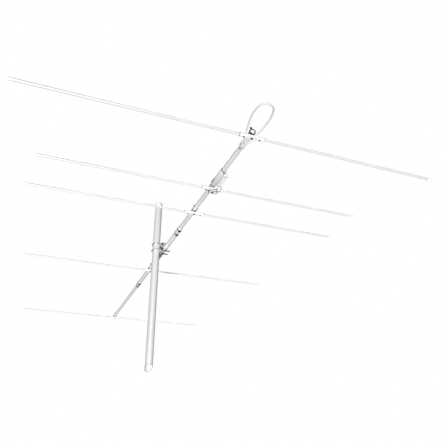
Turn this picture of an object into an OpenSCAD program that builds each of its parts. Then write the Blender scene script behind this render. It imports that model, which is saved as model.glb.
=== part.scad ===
// Five-element yagi antenna: telescoping boom, clamped across the side of a mast stub.
// +Y runs along the boom towards the directors, +X along the elements, +Z up.
// The origin is on the mast's axis, at the mouth of the mast's foot.

/* [Mast] */
// Outer diameter of the mast
mast_d = 50; // [46:1:52]
// Wall thickness of the mast
mast_wall = 2.5; // [2:0.5:4]
// Height of the mast's top above the middle of its foot
mast_len = 1164; // [1000:2:1400]
// Slope of the cut at the mast's foot, in degrees
foot_slope = 40; // [0:1:45]
// Turn of that cut about the mast, in degrees
foot_turn = 10; // [-20:1:20]

/* [Boom] */
// Height of the boom's axis above the foot
boom_height = 816; // [600:2:900]
// Distance from the mast's axis to the boom's axis
boom_offset = 60; // [60:1:62]
// Outer diameter of the rear and front boom tubes
boom_d = 25; // [25:0.5:25.5]
// Outer diameter of the middle boom tube
boom_mid_d = 30; // [30:0.5:30.5]
// Wall thickness of the boom tubes
boom_wall = 1.8; // [1.5:0.1:2]
// Length of boom tube behind the reflector
boom_tail = 8; // [8:1:12]
// Length of boom tube beyond the front director
boom_nose = 30; // [28:1:60]
// Length that one boom tube is pushed into the next
boom_lap = 110; // [90:5:160]

/* [Element spacing along the boom] */
// Reflector to the mast
reflector_to_mast = 1468; // [1440:2:1500]
// Reflector to the driven element
driven_at = 508; // [500:1:520]
// Reflector to the first director
director_1_at = 816; // [800:1:830]
// Reflector to the rear end of the middle boom tube
joint_1_at = 1088; // [1060:1:1120]
// Reflector to the second director
director_2_at = 1858; // [1800:1:1900]
// Reflector to the front end of the middle boom tube
joint_2_at = 2316; // [2250:1:2400]
// Reflector to the front director
director_3_at = 3353; // [3200:1:3400]

/* [Elements] */
// Outer diameter of the element tubes
element_d = 12.7; // [12.5:0.1:13]
// Wall thickness of the element tubes
element_wall = 1.2; // [1:0.1:1.5]
// Tip to tip length of the reflector
reflector_len = 2072; // [1900:1:2200]
// Tip to tip length of the driven element
driven_len = 1826; // [1700:1:2000]
// Tip to tip length of the first director
director_1_len = 1899; // [1700:1:2000]
// Tip to tip length of the second director
director_2_len = 1858; // [1700:1:2000]
// Tip to tip length of the front director
director_3_len = 1769; // [1600:1:1900]
// Gap between the two halves of the driven element
driven_gap = 16; // [14:1:20]

/* [Clamp] */
// Thickness of the clamp plate
plate_t = 5; // [4:0.5:6]
// Diameter of the U-bolt rod
ubolt_rod = 8; // [7:0.5:8]
// Half the distance between the two mast U-bolts
mast_ubolt_rise = 22.5; // [22:0.5:25]
// Half the distance between the two boom U-bolts
boom_ubolt_reach = 47; // [47:1:50]

/* [Feed] */
// Diameter of the coaxial cable
coax_d = 8; // [7.8:0.1:8]
// Radius of the antenna socket's threaded barrel
socket_r = 5.5; // [5.3:0.1:5.7]

/* [Hidden] */

$fn = 48;
fit_gap = 0.05;         // clearance of one piece that sits round another
boom_r = boom_d / 2;
boom_mid_r = boom_mid_d / 2;
element_r = element_d / 2;
mast_r = mast_d / 2;
rod_r = ubolt_rod / 2;
coax_r = coax_d / 2;

saddle_t = 2;           // saddle thickness under the boom
saddle_lip = 4;         // how far the saddle's rim stands out from the boom
saddle_half = 26;       // half the length of a saddle along the boom
saddle_screw_at = 16;   // where the screws of a saddle are, before and behind the element
channel_half = 31;      // half the length of a bracket's open channel
sleeve_end = 59;        // where a bracket's end sleeve stops
sleeve_r = 9;
strap_t = 2;            // bracket thickness under the element
bracket_half_w = 9.5;
bracket_screw_at = 39;
screw_seat = 8.4;       // from the element's axis to the flat under a bracket screw's head
screw_head_h = 3.6;
bolt_r = 3;
bolt_head_h = 4;
pad_h = 4;
pad_half = 5.2;
wing_base = pad_h + 0.3;
bolt_top = 19;          // how far a saddle bolt stands above the boom
cap_len = 28;
cap_r = 7.75;

plate_x = boom_offset - boom_mid_r - 9;    // mast side of the clamp plate
plate_half_y = 56;
plate_half_z = 31;
mast_leg_y = mast_r + 0.2 + rod_r;
boom_leg_z = boom_mid_r + 0.5 + rod_r;
mast_leg_end = boom_offset + 32;
nut_h = 6.5;
nut_r = 7.5;

feed_z = -29.2;         // underside of the driven element's bracket
block_h = 12;
socket_drop = 6;        // from the top of the block to the socket's axis
lead_r = 1.5;
coax_z = -(boom_r + coax_r + 0.3);
clip_from = 75;
clip_to = 103;
coax_tail = [-9.4, -15];      // where the returning cable lies in the clip

ELEMENTS = [
    // place along the boom, boom tube's radius, tip to tip length, saddle's rear end,
    // turn of the wing nut from the boom's direction
    [0, boom_r, reflector_len, -5.2, -60],
    [driven_at, boom_r, driven_len, -saddle_half, -20],
    [director_1_at, boom_r, director_1_len, -saddle_half, 0],
    [director_2_at, boom_mid_r, director_2_len, -saddle_half, -50],
    [director_3_at, boom_r, director_3_len, -saddle_half, 10]
];

// Centre line of the cable, from the feed cradle to the clip, round the loop and back to the clip
COAX_ROUTE = [
    [0, 470, coax_z], [0, 290, coax_z], [0, 110, coax_z], [0, 74, coax_z], [0, 70, coax_z],
    [3, 60, -17.5], [10, 48, -17.5], [18, 33, -13.5], [24, 18, -7], [28, 0, -2],
    [32, -18, 2], [37, -38, 6], [40, -60, 10], [42, -85, 13], [41, -108, 15],
    [38, -130, 15], [33, -152, 15], [26, -170, 15], [17, -183, 15], [5, -190, 15],
    [-8, -193, 15], [-20, -192, 15], [-31, -186, 15], [-39, -175, 15], [-44, -157, 15],
    [-46, -132, 15], [-45, -105, 14], [-42, -78, 12], [-38, -56, 9], [-34, -35, 6],
    [-30, -16, 3], [-27, 2, -1], [-24, 18, -5], [-21, 33, -9.5], [-16, 48, -13],
    [-11, 60, -15], [coax_tail[0], 70, coax_tail[1]], [coax_tail[0], 74, coax_tail[1]],
    [coax_tail[0], 96, coax_tail[1]]
];

// ---- frames and small shapes ----

module at_boom(y = 0) {
    translate([boom_offset, y - reflector_to_mast, boom_height]) children();
}

module along_x(r, x0, x1) {
    translate([x0, 0, 0]) rotate([0, 90, 0]) cylinder(r = r, h = x1 - x0);
}

module along_y(r, y0, y1) {
    translate([0, y0, 0]) rotate([-90, 0, 0]) cylinder(r = r, h = y1 - y0);
}

module block(x0, x1, y0, y1, z0, z1) {
    translate([x0, y0, z0]) cube([x1 - x0, y1 - y0, z1 - z0]);
}

module hex(r, h) {
    cylinder(r = r, h = h, $fn = 6);
}

function element_z(tube_r) = -(tube_r + saddle_t + element_r);

// A rod bent round a half circle of radius bend, with two legs of the stated length along +X
module u_rod(bend, leg) {
    rotate([0, 0, 90]) rotate_extrude(angle = 180) translate([bend, 0]) circle(rod_r, $fn = 24);
    for (side = [-1, 1]) translate([0, side * bend, 0]) {
        rotate([0, 90, 0]) cylinder(r = rod_r, h = leg, $fn = 24);
    }
}

// ---- mast ----

module foot_cut() {
    rotate([0, 0, foot_turn]) rotate([-foot_slope, 0, 0]) {
        translate([-100, -100, -200]) cube([200, 200, 200]);
    }
}

module mast_tube() {
    color("gainsboro") difference() {
        translate([0, 0, -60]) cylinder(r = mast_r, h = mast_len + 60, $fn = 96);
        translate([0, 0, -61]) cylinder(r = mast_r - mast_wall, h = mast_len + 62, $fn = 96);
        foot_cut();
    }
}

module mast_cap() {
    skirt = 24;
    top_r = mast_r + 1.4;
    color("whitesmoke") translate([0, 0, mast_len]) difference() {
        rotate_extrude($fn = 96) polygon(concat(
            [[0, -skirt], [top_r, -skirt]],
            [for (a = [0:10:90]) [top_r * cos(a), 2 + 12 * sin(a)]]
        ));
        translate([0, 0, -skirt - 1]) cylinder(r = mast_r + fit_gap, h = skirt + 1, $fn = 96);
    }
}

// ---- clamp between mast and boom ----

module at_clamp() {
    translate([0, 0, boom_height]) children();
}

module clamp_holes() {
    for (side = [-1, 1], rise = [-1, 1]) {
        translate([0, side * mast_leg_y, rise * mast_ubolt_rise]) along_x(rod_r + 0.4, 0, 100);
        translate([0, side * boom_ubolt_reach, rise * boom_leg_z]) along_x(rod_r + 0.4, 0, 100);
    }
}

module clamp_plate() {
    color("silver") at_clamp() difference() {
        block(plate_x, plate_x + plate_t, -plate_half_y, plate_half_y, -plate_half_z, plate_half_z);
        clamp_holes();
    }
}

module mast_saddles() {
    color("dimgray") at_clamp() for (rise = [-1, 1]) difference() {
        z = rise * mast_ubolt_rise;
        block(8, plate_x, -36, 36, z - 8, z + 8);
        translate([0, 0, z - 10]) cylinder(r = mast_r + fit_gap, h = 20, $fn = 96);
        clamp_holes();
    }
}

module mast_ubolts() {
    color("dimgray") at_clamp() for (rise = [-1, 1]) {
        translate([0, 0, rise * mast_ubolt_rise]) u_rod(mast_leg_y, mast_leg_end);
    }
}

module leg_nut() {
    rotate([0, 90, 0]) difference() {
        union() {
            cylinder(r = nut_r + 0.5, h = 1.6);
            translate([0, 0, 1.6]) hex(nut_r, nut_h);
        }
        translate([0, 0, -1]) cylinder(r = rod_r + fit_gap, h = nut_h + 4, $fn = 24);
    }
}

module mast_ubolt_nuts() {
    color("black") at_clamp() for (side = [-1, 1], rise = [-1, 1]) {
        translate([plate_x + plate_t, side * mast_leg_y, rise * mast_ubolt_rise]) leg_nut();
    }
}

module boom_saddles() {
    color("dimgray") at_clamp() for (side = [-1, 1]) difference() {
        y = side * boom_ubolt_reach;
        block(plate_x + plate_t, boom_offset - 6, y - 9, y + 9, -27, 27);
        translate([boom_offset, 0, 0]) along_y(boom_mid_r + fit_gap, y - 10, y + 10, $fn = 96);
        clamp_holes();
    }
}

module boom_ubolts() {
    leg = boom_offset - plate_x + 11;
    color("dimgray") at_clamp() for (side = [-1, 1]) {
        translate([boom_offset, side * boom_ubolt_reach, 0]) {
            rotate([90, 0, 180]) u_rod(boom_leg_z, leg);
        }
    }
}

module boom_ubolt_nuts() {
    color("black") at_clamp() for (side = [-1, 1], rise = [-1, 1]) {
        translate([plate_x, side * boom_ubolt_reach, rise * boom_leg_z]) mirror([1, 0, 0]) leg_nut();
    }
}

// ---- boom ----

module boom_tube(r, y0, y1) {
    difference() {
        along_y(r, y0, y1, $fn = 96);
        along_y(r - boom_wall, y0 - 1, y1 + 1, $fn = 96);
        bolt_holes(bolt_r + 0.2);
    }
}

// Where an element's saddle has its screws: one each side, or only in front at the boom's end
function saddle_screw_places(e) = e[3] < -saddle_screw_at
    ? [e[0] - saddle_screw_at, e[0] + saddle_screw_at] : [e[0] + saddle_screw_at];

// Holes through the boom for the saddle screws, and of radius r for the saddle bolts
module bolt_holes(r) {
    for (e = ELEMENTS, y = saddle_screw_places(e)) {
        translate([0, y, -60]) cylinder(r = 2.2, h = 60, $fn = 24);
    }
    for (e = ELEMENTS) translate([0, e[0], -60]) cylinder(r = r, h = 120, $fn = 24);
}

function band_places() = [joint_1_at + 14, joint_1_at + 76, joint_2_at - 76, joint_2_at - 14];

module boom_rear_tube() {
    color("gainsboro") at_boom() boom_tube(boom_r, -boom_tail, joint_1_at + boom_lap);
}

module boom_middle_tube() {
    // the wall fills the space round the two thinner tubes, less a sliding fit
    color("gainsboro") at_boom() difference() {
        along_y(boom_mid_r, joint_1_at, joint_2_at, $fn = 96);
        along_y(boom_r + 0.1, joint_1_at - 1, joint_2_at + 1, $fn = 96);
        bolt_holes(bolt_r + 0.2);
        // slits on top, so that the bands can draw the ends together
        block(-1, 1, joint_1_at - 1, joint_1_at + 88, 0, 20);
        block(-1, 1, joint_2_at - 88, joint_2_at + 1, 0, 20);
    }
}

module boom_front_tube() {
    color("gainsboro") at_boom() boom_tube(boom_r, joint_2_at - boom_lap, director_3_at + boom_nose);
}

module boom_end_ring() {
    color("dimgray") at_boom() difference() {
        along_y(boom_r + 3, -boom_tail - 5, -boom_tail + 2.5, $fn = 64);
        along_y(boom_r + fit_gap, -boom_tail, 10, $fn = 64);
        along_y(boom_r - boom_wall, -boom_tail - 10, 10, $fn = 64);
    }
}

module boom_end_plug() {
    color("white") at_boom() {
        along_y(boom_r - boom_wall - fit_gap, -boom_tail - 3, -boom_tail + 4, $fn = 64);
    }
}

module boom_nose_plug() {
    tip = director_3_at + boom_nose;
    color("dimgray") at_boom() {
        along_y(boom_r - boom_wall - fit_gap, tip - 10, tip, $fn = 64);
        along_y(boom_r + 0.8, tip, tip + 3, $fn = 64);
    }
}

module joint_bands() {
    color("black") at_boom() for (y = band_places()) difference() {
        along_y(boom_mid_r + 1, y - 4.5, y + 4.5, $fn = 96);
        along_y(boom_mid_r + fit_gap, y - 5, y + 5, $fn = 96);
    }
}

module joint_screws() {
    // worm housing under each band, with its screw across the boom
    color("black") at_boom() for (y = band_places()) {
        difference() {
            block(-7, 7, y - 5.5, y + 5.5, -boom_mid_r - 7.5, -13);
            along_y(boom_mid_r + 1 + fit_gap, y - 6, y + 6, $fn = 96);
        }
        translate([0, y, -boom_mid_r - 4]) {
            along_x(2.5, -8, 10, $fn = 24);
            translate([-11, 0, 0]) rotate([0, 90, 0]) hex(3.8, 3.5);
        }
    }
}

// ---- elements ----

module element_tube(x0, x1, bolted) {
    difference() {
        along_x(element_r, x0, x1);
        along_x(element_r - element_wall, x0 - 1, x1 + 1);
        for (x = [-bracket_screw_at, bracket_screw_at]) {
            translate([x, 0, -20]) cylinder(r = 2.2, h = 20, $fn = 24);
        }
        if (bolted) translate([0, 0, -20]) cylinder(r = bolt_r + 0.2, h = 40, $fn = 24);
    }
}

module at_element(e) {
    at_boom(e[0]) translate([0, 0, element_z(e[1])]) children();
}

module whole_element(e) {
    reach = e[2] / 2 - 4;
    color("gainsboro") at_element(e) element_tube(-reach, reach, true);
}

module driven_half(side) {
    reach = driven_len / 2 - 4;
    color("gainsboro") at_element(ELEMENTS[1]) mirror([side < 0 ? 1 : 0, 0, 0]) {
        element_tube(driven_gap / 2, reach, false);
    }
}

module element_caps(e) {
    dome = 7;
    color("whitesmoke") at_element(e) for (side = [0, 1]) mirror([side, 0, 0]) {
        translate([e[2] / 2 - cap_len, 0, 0]) rotate([0, 90, 0]) difference() {
            rotate_extrude() polygon(concat(
                [[0, 0], [cap_r, 0]],
                [for (a = [0:15:90]) [cap_r * cos(a), cap_len - dome + dome * sin(a)]]
            ));
            translate([0, 0, -1]) cylinder(r = element_r + fit_gap, h = cap_len - 4 + 1);
        }
    }
}

module saddle(e) {
    r = e[1];
    color("gainsboro") at_boom(e[0]) difference() {
        intersection() {
            along_y(r + saddle_lip, e[3], saddle_half, $fn = 64);
            block(-40, 40, -40, 40, -r - saddle_t, -1.5);
        }
        along_y(r + fit_gap, -40, 40, $fn = 64);
        translate([0, 0, -60]) cylinder(r = bolt_r + 0.2, h = 60, $fn = 24);
        for (y = saddle_screw_places(e)) translate([0, y - e[0], -60]) {
            cylinder(r = 2.2, h = 60, $fn = 24);
        }
    }
}

module bracket(e) {
    floor_z = -element_r - strap_t;
    color("whitesmoke") at_element(e) difference() {
        union() {
            block(-channel_half, channel_half, -bracket_half_w, bracket_half_w, floor_z, 4);
            for (side = [0, 1]) mirror([side, 0, 0]) {
                along_x(sleeve_r, channel_half, sleeve_end);
                along_x(sleeve_r + 0.9, sleeve_end - 3, sleeve_end);
                along_x(sleeve_r + 0.9, channel_half, channel_half + 2.5);
            }
        }
        along_x(element_r + fit_gap, -80, 80);
        block(-channel_half - 1, channel_half + 1, -element_r, element_r, 0, 10);
        translate([0, 0, -20]) cylinder(r = bolt_r + 0.2, h = 20, $fn = 24);
        for (x = [-bracket_screw_at, bracket_screw_at]) translate([x, 0, -20]) {
            cylinder(r = 2.2, h = 20, $fn = 24);
            cylinder(r = 4.4, h = 20 - screw_seat, $fn = 24);
        }
    }
}

module bracket_screws() {
    color("black") for (e = ELEMENTS) at_element(e) {
        for (x = [-bracket_screw_at, bracket_screw_at]) translate([x, 0, -screw_seat]) {
            translate([0, 0, -screw_head_h]) cylinder(r = 4, h = screw_head_h, $fn = 24);
            translate([0, 0, -1]) cylinder(r = 2, h = 7.5, $fn = 24);
        }
    }
}

// How far under the boom's axis a saddle bolt's head starts
function bolt_seat(i) = i == 1 ? feed_z - block_h
    : element_z(ELEMENTS[i][1]) - element_r - strap_t;

module saddle_bolts() {
    color("black") for (i = [0:4]) at_boom(ELEMENTS[i][0]) {
        seat = bolt_seat(i);
        length = ELEMENTS[i][1] + bolt_top - seat + 1;
        translate([0, 0, seat - bolt_head_h]) hex(5.8, bolt_head_h);
        translate([0, 0, seat - 1]) cylinder(r = bolt_r, h = length, $fn = 24);
    }
    color("black") for (e = ELEMENTS, y = saddle_screw_places(e)) at_boom(y) {
        seat = -e[1] - saddle_t;
        translate([0, 0, seat - 3.5]) hex(4.6, 3.5);
        translate([0, 0, seat - 1]) cylinder(r = 2, h = 9, $fn = 24);
    }
}

module saddle_pads() {
    color("black") for (e = ELEMENTS) at_boom(e[0]) difference() {
        block(-6.5, 6.5, -pad_half, pad_half, e[1] - 3, e[1] + pad_h);
        along_y(e[1] + fit_gap, -40, 40, $fn = 64);
        cylinder(r = bolt_r + 0.2, h = 60, $fn = 24);
    }
}

module wing_nut(e) {
    color("black") at_boom(e[0]) translate([0, 0, e[1] + wing_base]) rotate([0, 0, e[4]]) difference() {
        union() {
            cylinder(r = 5.6, h = 8, $fn = 32);
            for (turn = [90, 270]) rotate([90, 0, turn]) translate([0, 0, -1.5]) linear_extrude(3) {
                polygon([[4, 0.5], [7, 0.5], [12.4, 6.5], [5.6, 11.5], [4.6, 6.5]]);
                translate([8.9, 8.7]) circle(4.2, $fn = 32);
            }
        }
        translate([0, 0, -1]) cylinder(r = bolt_r + fit_gap, h = 30, $fn = 24);
    }
}

// ---- feed ----

module driven_core() {
    color("ivory") at_element(ELEMENTS[1]) difference() {
        union() {
            along_x(element_r - element_wall - fit_gap, -60, 60);
            along_x(element_r, -driven_gap / 2 + 0.1, driven_gap / 2 - 0.1);
        }
        translate([0, 0, -20]) cylinder(r = bolt_r + 0.2, h = 40, $fn = 24);
        for (x = [-bracket_screw_at, bracket_screw_at]) {
            translate([x, 0, -20]) cylinder(r = 2.2, h = 20, $fn = 24);
        }
    }
}

cradle_from = driven_at - 156;
cradle_to = driven_at - 28;
cradle_screw_places = [cradle_to - 30, cradle_to - 8];
cradle_screw_seat = -boom_r - 2.5;
box_x0 = 17;
box_x1 = 36;
box_from = driven_at - 132;
box_to = driven_at - 21;
box_floor = -12;
box_top = 14;
box_wall = 2.2;

module feed_cradle() {
    color("lightgray") at_boom() difference() {
        union() {
            along_y(boom_r + 3, cradle_from, cradle_to, $fn = 64);
            translate([0, 0, coax_z]) along_y(coax_r + 2.4, cradle_from, cradle_to, $fn = 40);
            block(8, box_x0, box_from + 4, cradle_to, -9, 9);
        }
        along_y(boom_r + fit_gap, 0, driven_at, $fn = 64);
        translate([0, 0, coax_z]) along_y(coax_r + fit_gap, 0, driven_at, $fn = 40);
        for (y = cradle_screw_places) translate([0, y, 3]) {
            along_x(2.1, -30, 0, $fn = 24);
            along_x(4.4, -30, cradle_screw_seat, $fn = 24);
        }
    }
}

module feed_cradle_screws() {
    color("black") at_boom() for (y = cradle_screw_places) translate([0, y, 3]) {
        along_x(4.2, cradle_screw_seat - 3.2, cradle_screw_seat, $fn = 24);
        along_x(2, cradle_screw_seat - 1, -boom_r - 0.2, $fn = 24);
    }
}

module feed_box_body() {
    color("whitesmoke") at_boom() difference() {
        block(box_x0, box_x1, box_from, box_to, box_floor, box_top);
        block(box_x0 + box_wall, box_x1 - box_wall, box_from + box_wall, box_to - box_wall,
              box_floor - 1, box_top - box_wall);
    }
    color("whitesmoke") at_boom() for (x = [box_x0 + 3.8, box_x1 - 3.8]) {
        for (y = [box_from + 3.8, box_to - 3.8]) translate([x, y, box_floor]) difference() {
            cylinder(r = 2.8, h = box_top - box_floor - 1, $fn = 24);
            translate([0, 0, -1]) cylinder(r = 1.3, h = 12, $fn = 24);
        }
    }
}

module box_plate(z0, z1, hole_r) {
    difference() {
        block(box_x0, box_x1, box_from, box_to, z0, z1);
        for (x = [box_x0 + 3.8, box_x1 - 3.8], y = [box_from + 3.8, box_to - 3.8]) {
            translate([x, y, z0 - 1]) cylinder(r = hole_r, h = z1 - z0 + 2, $fn = 24);
        }
    }
}

module feed_box_gasket() {
    color("dimgray") at_boom() difference() {
        box_plate(box_floor - 0.8, box_floor, 1.5);
        block(box_x0 + 7, box_x1 - 7, box_from + 7, box_to - 7, box_floor - 2, box_floor + 1);
    }
}

module feed_box_lid() {
    color("white") at_boom() box_plate(box_floor - 3, box_floor - 0.8, 1.5);
}

module feed_box_screws() {
    color("black") at_boom() for (x = [box_x0 + 3.8, box_x1 - 3.8]) {
        for (y = [box_from + 3.8, box_to - 3.8]) translate([x, y, box_floor - 3]) {
            translate([0, 0, -1.6]) cylinder(r = 2.6, h = 1.6, $fn = 24);
            cylinder(r = 1.2, h = 9, $fn = 24);
        }
    }
}

module lead(points, r) {
    for (i = [0:len(points) - 2]) hull() for (p = [points[i], points[i + 1]]) {
        translate(p) sphere(r, $fn = 16);
    }
}

module feed_leads() {
    // one wire from the box and one from the socket's block, each to a half of the driven element
    end_z = element_z(boom_r) - sleeve_r - lead_r - 0.3;
    color("dimgray") at_boom() {
        lead([[box_x1 - 1, box_to - 8, 2], [box_x1 + 4, box_to - 6, -4], [box_x1 + 5, box_to - 4, -26],
              [bracket_screw_at + 4.6, driven_at - 4, end_z], [bracket_screw_at + 3.6, driven_at, end_z]],
             lead_r);
        lead([[-19, driven_at, end_z - 4.4], [-23, driven_at, end_z - 4.4],
              [-30, driven_at, end_z - 1.8], [-bracket_screw_at + 3.6, driven_at, end_z - 0.3]],
             lead_r);
    }
}

module feed_block() {
    color("dimgray") at_boom(driven_at) difference() {
        block(-20, 28, -13, 15, feed_z - block_h, feed_z);
        translate([0, 0, -80]) cylinder(r = bolt_r + 0.2, h = 80, $fn = 24);
        translate([14, -20, feed_z - socket_drop]) rotate([-90, 0, 0]) cylinder(r = 4, h = 26, $fn = 32);
    }
}

module feed_socket() {
    // panel socket that faces the reflector, under the driven element
    color("silver") at_boom(driven_at) translate([14, -13, feed_z - socket_drop]) rotate([90, 0, 0]) {
        difference() {
            union() {
                cylinder(r = 5.9, h = 2, $fn = 48);
                cylinder(r = socket_r, h = 14, $fn = 48);
            }
            translate([0, 0, 4]) cylinder(r = 4.2, h = 12, $fn = 40);
        }
        translate([0, 0, -18]) cylinder(r = 3.9, h = 18, $fn = 32);
        difference() {
            cylinder(r = 2.4, h = 12, $fn = 32);
            translate([0, 0, 5]) cylinder(r = 1, h = 10, $fn = 24);
        }
    }
}

// ---- coaxial cable ----

function spline(a, b, c, d, t) = 0.5 * (2 * b + (c - a) * t + (2 * a - 5 * b + 4 * c - d) * t * t
    + (3 * b - a - 3 * c + d) * t * t * t);

function smooth(route, steps) = let (n = len(route)) concat(
    [for (i = [0:n - 2], s = [0:steps - 1]) spline(
        route[max(i - 1, 0)], route[i], route[i + 1], route[min(i + 2, n - 1)], s / steps)],
    [route[n - 1]]
);

function unit(v) = v / norm(v);

module swept_tube(path, r, sides) {
    n = len(path);
    ahead = [for (i = [0:n - 1]) unit(path[min(i + 1, n - 1)] - path[max(i - 1, 0)])];
    side = [for (t = ahead) unit(cross([0, 0, 1], t))];
    points = [for (i = [0:n - 1], k = [0:sides - 1]) let (a = 360 * k / sides)
        path[i] + r * (cos(a) * side[i] + sin(a) * cross(ahead[i], side[i]))];
    walls = [for (i = [0:n - 2], k = [0:sides - 1]) let (next = (k + 1) % sides)
        [i * sides + k, i * sides + next, (i + 1) * sides + next, (i + 1) * sides + k]];
    first = [for (k = [sides - 1:-1:0]) k];
    last = [for (k = [0:sides - 1]) (n - 1) * sides + k];
    polyhedron(points, concat(walls, [first, last]), convexity = 10);
}

module coax_line() {
    color("lightgray") at_boom() swept_tube(smooth(COAX_ROUTE, 2), coax_r - 0.05, 10);
}

module coax_end_cap() {
    color("black") at_boom() translate([coax_tail[0], 0, coax_tail[1]]) difference() {
        along_y(coax_r + 0.6, 92, 116, $fn = 32);
        along_y(coax_r, 91, 96.1, $fn = 32);
    }
}

module coax_clip() {
    color("dimgray") at_boom() difference() {
        union() {
            along_y(boom_r + 2.6, clip_from, clip_to, $fn = 64);
            translate([0, 0, coax_z]) along_y(coax_r + 2.6, clip_from, clip_to, $fn = 32);
            translate([coax_tail[0], 0, coax_tail[1]]) along_y(coax_r + 3, clip_from, clip_to, $fn = 32);
        }
        along_y(boom_r + fit_gap, 0, driven_at, $fn = 64);
        translate([0, 0, coax_z]) along_y(coax_r + fit_gap, 0, driven_at, $fn = 32);
        translate([coax_tail[0], 0, coax_tail[1]]) {
            along_y(coax_r + fit_gap, 0, 92, $fn = 32);
            along_y(coax_r + 0.6 + fit_gap, 91.9, driven_at, $fn = 32);
        }
    }
}

module coax_tie() {
    y = cradle_from - 16;
    color("black") at_boom() difference() {
        union() {
            along_y(boom_r + 1.8, y, y + 4, $fn = 64);
            translate([0, 0, coax_z]) along_y(coax_r + 1.6, y, y + 4, $fn = 32);
            block(-4, 4, y, y + 4, boom_r, boom_r + 5);
        }
        along_y(boom_r + fit_gap, 0, driven_at, $fn = 64);
        translate([0, 0, coax_z]) along_y(coax_r + fit_gap, 0, driven_at, $fn = 32);
    }
}

// ---- one line for each node ----

mast_tube();
mast_cap();
clamp_plate();
mast_saddles();
mast_ubolts();
mast_ubolt_nuts();
boom_saddles();
boom_ubolts();
boom_ubolt_nuts();
boom_rear_tube();
boom_middle_tube();
boom_front_tube();
boom_end_ring();
boom_end_plug();
boom_nose_plug();
joint_bands();
joint_screws();
whole_element(ELEMENTS[0]);  // reflector_tube
driven_half(-1);  // driven_left_tube
driven_half(1);  // driven_right_tube
whole_element(ELEMENTS[2]);  // director_1_tube
whole_element(ELEMENTS[3]);  // director_2_tube
whole_element(ELEMENTS[4]);  // director_3_tube
element_caps(ELEMENTS[0]);  // reflector_caps
element_caps(ELEMENTS[1]);  // driven_caps
element_caps(ELEMENTS[2]);  // director_1_caps
element_caps(ELEMENTS[3]);  // director_2_caps
element_caps(ELEMENTS[4]);  // director_3_caps
saddle(ELEMENTS[0]);  // reflector_saddle
saddle(ELEMENTS[1]);  // driven_saddle
saddle(ELEMENTS[2]);  // director_1_saddle
saddle(ELEMENTS[3]);  // director_2_saddle
saddle(ELEMENTS[4]);  // director_3_saddle
bracket(ELEMENTS[0]);  // reflector_bracket
bracket(ELEMENTS[1]);  // driven_bracket
bracket(ELEMENTS[2]);  // director_1_bracket
bracket(ELEMENTS[3]);  // director_2_bracket
bracket(ELEMENTS[4]);  // director_3_bracket
wing_nut(ELEMENTS[0]);  // reflector_wing_nut
wing_nut(ELEMENTS[1]);  // driven_wing_nut
wing_nut(ELEMENTS[2]);  // director_1_wing_nut
wing_nut(ELEMENTS[3]);  // director_2_wing_nut
wing_nut(ELEMENTS[4]);  // director_3_wing_nut
saddle_bolts();
saddle_pads();
bracket_screws();
driven_core();
feed_cradle();
feed_cradle_screws();
feed_box_body();
feed_box_gasket();
feed_box_lid();
feed_box_screws();
feed_leads();
feed_block();
feed_socket();
coax_line();
coax_end_cap();
coax_clip();
coax_tie();
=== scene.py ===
"""Looks of a five-element yagi antenna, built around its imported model.

Lengths are in metres, in the model's own frame: +Y along the boom towards the directors,
+X along the elements and +Z up the mast.
"""

import logging
import math
from collections.abc import Callable, Iterable, Sequence
from dataclasses import dataclass
from enum import Enum

import bmesh
import bpy
from mathutils import Matrix, Vector


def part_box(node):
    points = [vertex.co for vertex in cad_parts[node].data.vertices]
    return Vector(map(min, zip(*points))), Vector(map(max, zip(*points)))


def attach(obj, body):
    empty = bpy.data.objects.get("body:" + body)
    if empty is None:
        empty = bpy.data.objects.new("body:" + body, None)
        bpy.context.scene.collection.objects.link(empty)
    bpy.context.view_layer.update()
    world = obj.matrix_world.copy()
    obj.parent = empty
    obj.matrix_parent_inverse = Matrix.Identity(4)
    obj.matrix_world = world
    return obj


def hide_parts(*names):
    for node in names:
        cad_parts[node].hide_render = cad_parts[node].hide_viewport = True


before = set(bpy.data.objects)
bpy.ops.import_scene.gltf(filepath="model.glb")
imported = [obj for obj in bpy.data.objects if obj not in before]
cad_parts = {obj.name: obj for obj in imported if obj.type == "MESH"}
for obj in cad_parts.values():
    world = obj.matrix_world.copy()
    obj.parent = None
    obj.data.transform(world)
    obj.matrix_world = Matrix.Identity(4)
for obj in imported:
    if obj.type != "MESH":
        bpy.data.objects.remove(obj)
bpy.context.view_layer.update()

log = logging.getLogger("yagi")
Colour = tuple[float, float, float]
Ring = list[Vector]


class Axis(Enum):
    """The direction that a tube or a bolt runs in."""

    X = Vector((1.0, 0.0, 0.0))
    Y = Vector((0.0, 1.0, 0.0))
    Z = Vector((0.0, 0.0, 1.0))


class Body(Enum):
    """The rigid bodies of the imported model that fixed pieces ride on."""

    MAST = "mast"
    CLAMP = "clamp"
    BOOM = "boom"


# ---------------------------------------------------------------- shader graphs


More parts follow.
